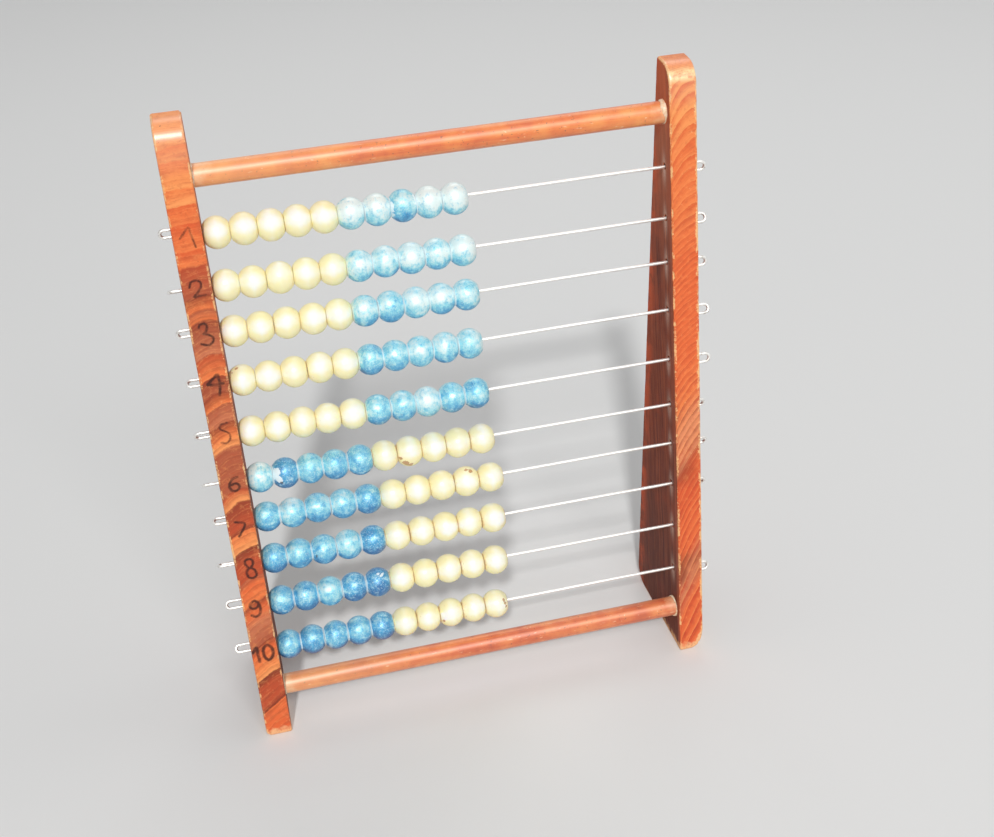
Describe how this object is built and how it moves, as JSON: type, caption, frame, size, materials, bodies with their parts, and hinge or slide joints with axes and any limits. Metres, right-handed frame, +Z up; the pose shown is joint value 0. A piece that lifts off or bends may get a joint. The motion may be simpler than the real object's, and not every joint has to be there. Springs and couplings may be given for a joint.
{
  "type": "abacus",
  "caption": "Upright counting frame: two wedge side boards, two dowels, and rows of beads that slide on steel wires with hairpin ends.",
  "frame": {"origin": "on the surface it stands on, at the middle of the footprint: midway between the outermost wire loops and midway between the toe and heel of the side boards", "axes": "+X along the wires from the numbered board to the other one, +Y from the front to the back, +Z up; the front edges lean back 4 degrees"},
  "size_m": [0.2337, 0.0658, 0.2918],
  "materials": {
    "stained_board": "softwood stained orange-red under an old clear varnish, worn to pale wood at the feet",
    "stained_dowel": "birch dowel stained orange, glossy old varnish with fine scratches",
    "bright_wire": "bright drawn steel wire, slightly dulled on its end loops",
    "cream_bead": "turned wood with old cream gloss paint, grimy in the creases",
    "blue_bead": "turned wood with pearly light blue paint, worn to white at the ends"
  },
  "bodies": {
    "frame": {"left_board": "stained_board", "right_board": "stained_board", "top_dowel": "stained_dowel", "bottom_dowel": "stained_dowel", "wire_01": "bright_wire", "wire_02": "bright_wire", "wire_03": "bright_wire", "wire_04": "bright_wire", "wire_05": "bright_wire", "wire_06": "bright_wire", "wire_07": "bright_wire", "wire_08": "bright_wire", "wire_09": "bright_wire", "wire_10": "bright_wire"},
    "row_01_beads_01_02": {"row_01_beads_01_02": "cream_bead"},
    "row_01_beads_03_05": {"row_01_beads_03_05": "cream_bead"},
    "row_01_beads_06_08": {"row_01_beads_06_08": "blue_bead"},
    "row_01_beads_09_10": {"row_01_beads_09_10": "blue_bead"},
    "row_02_beads_01_02": {"row_02_beads_01_02": "cream_bead"},
    "row_02_beads_03_05": {"row_02_beads_03_05": "cream_bead"},
    "row_02_beads_06_08": {"row_02_beads_06_08": "blue_bead"},
    "row_02_beads_09_10": {"row_02_beads_09_10": "blue_bead"},
    "row_03_beads_01_02": {"row_03_beads_01_02": "cream_bead"},
    "row_03_beads_03_05": {"row_03_beads_03_05": "cream_bead"},
    "row_03_beads_06_08": {"row_03_beads_06_08": "blue_bead"},
    "row_03_beads_09_10": {"row_03_beads_09_10": "blue_bead"},
    "row_04_beads_01_02": {"row_04_beads_01_02": "cream_bead"},
    "row_04_beads_03_05": {"row_04_beads_03_05": "cream_bead"},
    "row_04_beads_06_08": {"row_04_beads_06_08": "blue_bead"},
    "row_04_beads_09_10": {"row_04_beads_09_10": "blue_bead"},
    "row_05_beads_01_02": {"row_05_beads_01_02": "cream_bead"},
    "row_05_beads_03_05": {"row_05_beads_03_05": "cream_bead"},
    "row_05_beads_06_08": {"row_05_beads_06_08": "blue_bead"},
    "row_05_beads_09_10": {"row_05_beads_09_10": "blue_bead"},
    "row_06_beads_01_02": {"row_06_beads_01_02": "blue_bead"},
    "row_06_beads_03_05": {"row_06_beads_03_05": "blue_bead"},
    "row_06_beads_06_08": {"row_06_beads_06_08": "cream_bead"},
    "row_06_beads_09_10": {"row_06_beads_09_10": "cream_bead"},
    "row_07_beads_01_02": {"row_07_beads_01_02": "blue_bead"},
    "row_07_beads_03_05": {"row_07_beads_03_05": "blue_bead"},
    "row_07_beads_06_08": {"row_07_beads_06_08": "cream_bead"},
    "row_07_beads_09_10": {"row_07_beads_09_10": "cream_bead"},
    "row_08_beads_01_02": {"row_08_beads_01_02": "blue_bead"},
    "row_08_beads_03_05": {"row_08_beads_03_05": "blue_bead"},
    "row_08_beads_06_08": {"row_08_beads_06_08": "cream_bead"},
    "row_08_beads_09_10": {"row_08_beads_09_10": "cream_bead"},
    "row_09_beads_01_02": {"row_09_beads_01_02": "blue_bead"},
    "row_09_beads_03_05": {"row_09_beads_03_05": "blue_bead"},
    "row_09_beads_06_08": {"row_09_beads_06_08": "cream_bead"},
    "row_09_beads_09_10": {"row_09_beads_09_10": "cream_bead"},
    "row_10_beads_01_02": {"row_10_beads_01_02": "blue_bead"},
    "row_10_beads_03_05": {"row_10_beads_03_05": "blue_bead"},
    "row_10_beads_06_08": {"row_10_beads_06_08": "cream_bead"},
    "row_10_beads_09_10": {"row_10_beads_09_10": "cream_bead"}
  },
  "joints": [
    {"name": "row_01_slide_a", "type": "slide", "parent": "frame", "child": "row_01_beads_01_02", "axis": [1, 0, 0], "range_m": [0, 0.0213]},
    {"name": "row_01_slide_b", "type": "slide", "parent": "row_01_beads_01_02", "child": "row_01_beads_03_05", "axis": [1, 0, 0], "range_m": [0, 0.0213]},
    {"name": "row_01_slide_c", "type": "slide", "parent": "row_01_beads_03_05", "child": "row_01_beads_06_08", "axis": [1, 0, 0], "range_m": [0, 0.0213]},
    {"name": "row_01_slide_d", "type": "slide", "parent": "row_01_beads_06_08", "child": "row_01_beads_09_10", "axis": [1, 0, 0], "range_m": [0, 0.0213]},
    {"name": "row_02_slide_a", "type": "slide", "parent": "frame", "child": "row_02_beads_01_02", "axis": [1, 0, 0], "range_m": [0, 0.021]},
    {"name": "row_02_slide_b", "type": "slide", "parent": "row_02_beads_01_02", "child": "row_02_beads_03_05", "axis": [1, 0, 0], "range_m": [0, 0.021]},
    {"name": "row_02_slide_c", "type": "slide", "parent": "row_02_beads_03_05", "child": "row_02_beads_06_08", "axis": [1, 0, 0], "range_m": [0, 0.021]},
    {"name": "row_02_slide_d", "type": "slide", "parent": "row_02_beads_06_08", "child": "row_02_beads_09_10", "axis": [1, 0, 0], "range_m": [0, 0.021]},
    {"name": "row_03_slide_a", "type": "slide", "parent": "frame", "child": "row_03_beads_01_02", "axis": [1, 0, 0], "range_m": [0, 0.021]},
    {"name": "row_03_slide_b", "type": "slide", "parent": "row_03_beads_01_02", "child": "row_03_beads_03_05", "axis": [1, 0, 0], "range_m": [0, 0.021]},
    {"name": "row_03_slide_c", "type": "slide", "parent": "row_03_beads_03_05", "child": "row_03_beads_06_08", "axis": [1, 0, 0], "range_m": [0, 0.021]},
    {"name": "row_03_slide_d", "type": "slide", "parent": "row_03_beads_06_08", "child": "row_03_beads_09_10", "axis": [1, 0, 0], "range_m": [0, 0.021]},
    {"name": "row_04_slide_a", "type": "slide", "parent": "frame", "child": "row_04_beads_01_02", "axis": [1, 0, 0], "range_m": [0, 0.0212]},
    {"name": "row_04_slide_b", "type": "slide", "parent": "row_04_beads_01_02", "child": "row_04_beads_03_05", "axis": [1, 0, 0], "range_m": [0, 0.0212]},
    {"name": "row_04_slide_c", "type": "slide", "parent": "row_04_beads_03_05", "child": "row_04_beads_06_08", "axis": [1, 0, 0], "range_m": [0, 0.0212]},
    {"name": "row_04_slide_d", "type": "slide", "parent": "row_04_beads_06_08", "child": "row_04_beads_09_10", "axis": [1, 0, 0], "range_m": [0, 0.0212]},
    {"name": "row_05_slide_a", "type": "slide", "parent": "frame", "child": "row_05_beads_01_02", "axis": [1, 0, 0], "range_m": [0, 0.0209]},
    {"name": "row_05_slide_b", "type": "slide", "parent": "row_05_beads_01_02", "child": "row_05_beads_03_05", "axis": [1, 0, 0], "range_m": [0, 0.0209]},
    {"name": "row_05_slide_c", "type": "slide", "parent": "row_05_beads_03_05", "child": "row_05_beads_06_08", "axis": [1, 0, 0], "range_m": [0, 0.0209]},
    {"name": "row_05_slide_d", "type": "slide", "parent": "row_05_beads_06_08", "child": "row_05_beads_09_10", "axis": [1, 0, 0], "range_m": [0, 0.0209]},
    {"name": "row_06_slide_a", "type": "slide", "parent": "frame", "child": "row_06_beads_01_02", "axis": [1, 0, 0], "range_m": [0, 0.0208]},
    {"name": "row_06_slide_b", "type": "slide", "parent": "row_06_beads_01_02", "child": "row_06_beads_03_05", "axis": [1, 0, 0], "range_m": [0, 0.0208]},
    {"name": "row_06_slide_c", "type": "slide", "parent": "row_06_beads_03_05", "child": "row_06_beads_06_08", "axis": [1, 0, 0], "range_m": [0, 0.0208]},
    {"name": "row_06_slide_d", "type": "slide", "parent": "row_06_beads_06_08", "child": "row_06_beads_09_10", "axis": [1, 0, 0], "range_m": [0, 0.0208]},
    {"name": "row_07_slide_a", "type": "slide", "parent": "frame", "child": "row_07_beads_01_02", "axis": [1, 0, 0], "range_m": [0, 0.0201]},
    {"name": "row_07_slide_b", "type": "slide", "parent": "row_07_beads_01_02", "child": "row_07_beads_03_05", "axis": [1, 0, 0], "range_m": [0, 0.0201]},
    {"name": "row_07_slide_c", "type": "slide", "parent": "row_07_beads_03_05", "child": "row_07_beads_06_08", "axis": [1, 0, 0], "range_m": [0, 0.0201]},
    {"name": "row_07_slide_d", "type": "slide", "parent": "row_07_beads_06_08", "child": "row_07_beads_09_10", "axis": [1, 0, 0], "range_m": [0, 0.0201]},
    {"name": "row_08_slide_a", "type": "slide", "parent": "frame", "child": "row_08_beads_01_02", "axis": [1, 0, 0], "range_m": [0, 0.0203]},
    {"name": "row_08_slide_b", "type": "slide", "parent": "row_08_beads_01_02", "child": "row_08_beads_03_05", "axis": [1, 0, 0], "range_m": [0, 0.0203]},
    {"name": "row_08_slide_c", "type": "slide", "parent": "row_08_beads_03_05", "child": "row_08_beads_06_08", "axis": [1, 0, 0], "range_m": [0, 0.0203]},
    {"name": "row_08_slide_d", "type": "slide", "parent": "row_08_beads_06_08", "child": "row_08_beads_09_10", "axis": [1, 0, 0], "range_m": [0, 0.0203]},
    {"name": "row_09_slide_a", "type": "slide", "parent": "frame", "child": "row_09_beads_01_02", "axis": [1, 0, 0], "range_m": [0, 0.0205]},
    {"name": "row_09_slide_b", "type": "slide", "parent": "row_09_beads_01_02", "child": "row_09_beads_03_05", "axis": [1, 0, 0], "range_m": [0, 0.0205]},
    {"name": "row_09_slide_c", "type": "slide", "parent": "row_09_beads_03_05", "child": "row_09_beads_06_08", "axis": [1, 0, 0], "range_m": [0, 0.0205]},
    {"name": "row_09_slide_d", "type": "slide", "parent": "row_09_beads_06_08", "child": "row_09_beads_09_10", "axis": [1, 0, 0], "range_m": [0, 0.0205]},
    {"name": "row_10_slide_a", "type": "slide", "parent": "frame", "child": "row_10_beads_01_02", "axis": [1, 0, 0], "range_m": [0, 0.0209]},
    {"name": "row_10_slide_b", "type": "slide", "parent": "row_10_beads_01_02", "child": "row_10_beads_03_05", "axis": [1, 0, 0], "range_m": [0, 0.0209]},
    {"name": "row_10_slide_c", "type": "slide", "parent": "row_10_beads_03_05", "child": "row_10_beads_06_08", "axis": [1, 0, 0], "range_m": [0, 0.0209]},
    {"name": "row_10_slide_d", "type": "slide", "parent": "row_10_beads_06_08", "child": "row_10_beads_09_10", "axis": [1, 0, 0], "range_m": [0, 0.0209]}
  ]
}
